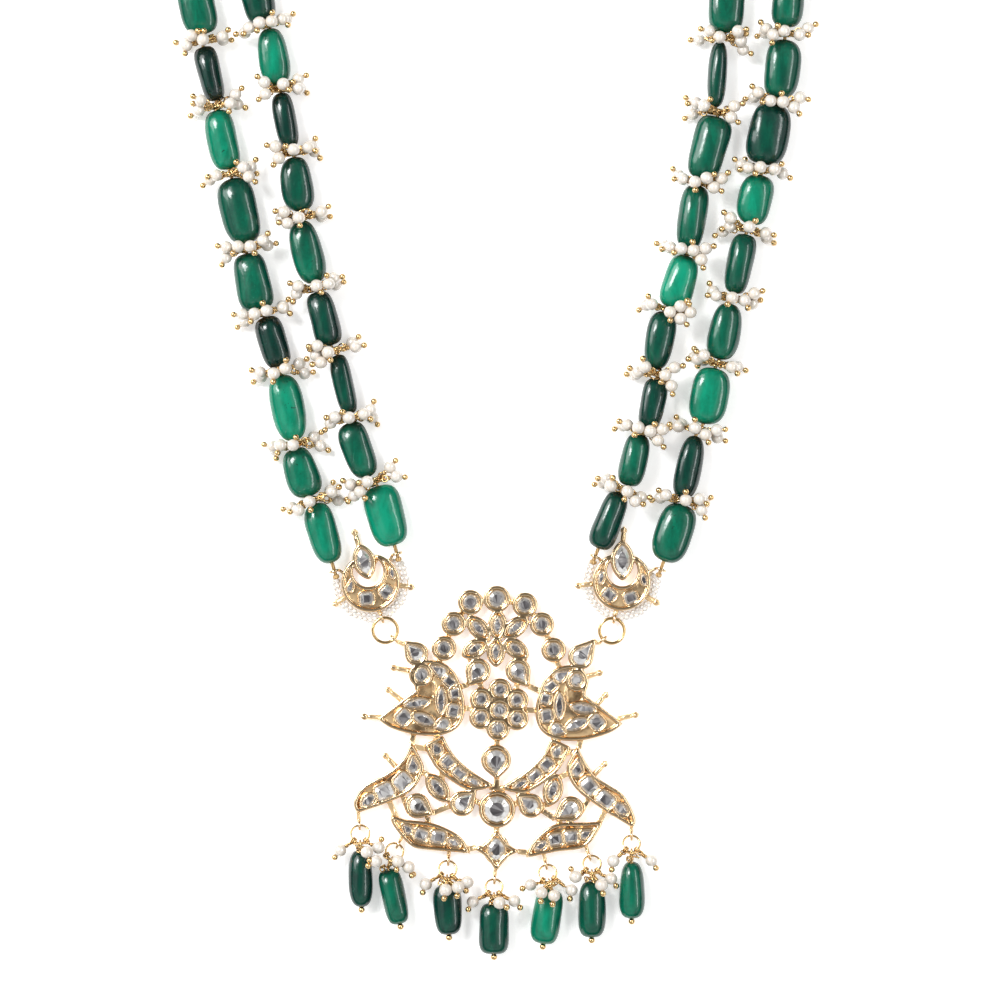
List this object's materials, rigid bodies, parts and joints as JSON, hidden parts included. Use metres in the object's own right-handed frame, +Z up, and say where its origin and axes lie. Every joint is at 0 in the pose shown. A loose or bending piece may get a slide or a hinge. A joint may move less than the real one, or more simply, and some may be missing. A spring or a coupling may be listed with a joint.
{
  "type": "kundan pendant necklace",
  "caption": "Long kundan necklace: an openwork gold pendant set with flat foiled stones, hanging drops, crescent connectors, and two strands of green beads with pearl clusters",
  "frame": {"origin": "centre of the bounding box at the surface that the necklace lies on", "axes": "+X right, +Y from the pendant up to the clasp, +Z up from the surface, out of the stones' faces"},
  "size_m": [0.1682, 0.3313, 0.0098],
  "materials": {
    "gold": "polished champagne-gold plating",
    "kundan_glass": "foiled flat-cut glass, bright facets round a dark table",
    "emerald_bead": "tumbled, glossy, clouded green",
    "pearl": "lustrous ivory",
    "thread": "gold-wrapped cord"
  },
  "bodies": {
    "root": {"pendant_frame": "gold", "arch_stones": "kundan_glass", "star_stones": "kundan_glass", "rosette_stones": "kundan_glass", "upper_pear_stones": "kundan_glass", "left_bird_stones": "kundan_glass", "right_bird_stones": "kundan_glass", "left_sash_stones": "kundan_glass", "right_sash_stones": "kundan_glass", "left_leaf_stones": "kundan_glass", "right_leaf_stones": "kundan_glass", "petal_stones": "kundan_glass", "left_base_stones": "kundan_glass", "right_base_stones": "kundan_glass", "centre_pear_stone": "kundan_glass", "centre_round_stone": "kundan_glass", "base_stone": "kundan_glass", "left_crescent": "gold", "right_crescent": "gold", "left_crescent_stones": "kundan_glass", "right_crescent_stones": "kundan_glass", "left_link_ring": "gold", "right_link_ring": "gold", "drop_ring_1": "gold", "drop_ring_2": "gold", "drop_ring_3": "gold", "drop_ring_4": "gold", "drop_ring_5": "gold", "drop_ring_6": "gold", "drop_ring_7": "gold", "drop_bead_1": "emerald_bead", "drop_bead_2": "emerald_bead", "drop_bead_3": "emerald_bead", "drop_bead_4": "emerald_bead", "drop_bead_5": "emerald_bead", "drop_bead_6": "emerald_bead", "drop_bead_7": "emerald_bead", "drop_pin_1": "gold", "drop_pin_2": "gold", "drop_pin_3": "gold", "drop_pin_4": "gold", "drop_pin_5": "gold", "drop_pin_6": "gold", "drop_pin_7": "gold", "drop_pearls": "pearl", "left_outer_beads": "emerald_bead", "left_inner_beads": "emerald_bead", "right_inner_beads": "emerald_bead", "right_outer_beads": "emerald_bead", "left_outer_thread": "thread", "left_inner_thread": "thread", "right_inner_thread": "thread", "right_outer_thread": "thread", "left_outer_pearls": "pearl", "left_inner_pearls": "pearl", "right_inner_pearls": "pearl", "right_outer_pearls": "pearl", "clasp": "gold"}
  },
  "joints": []
}
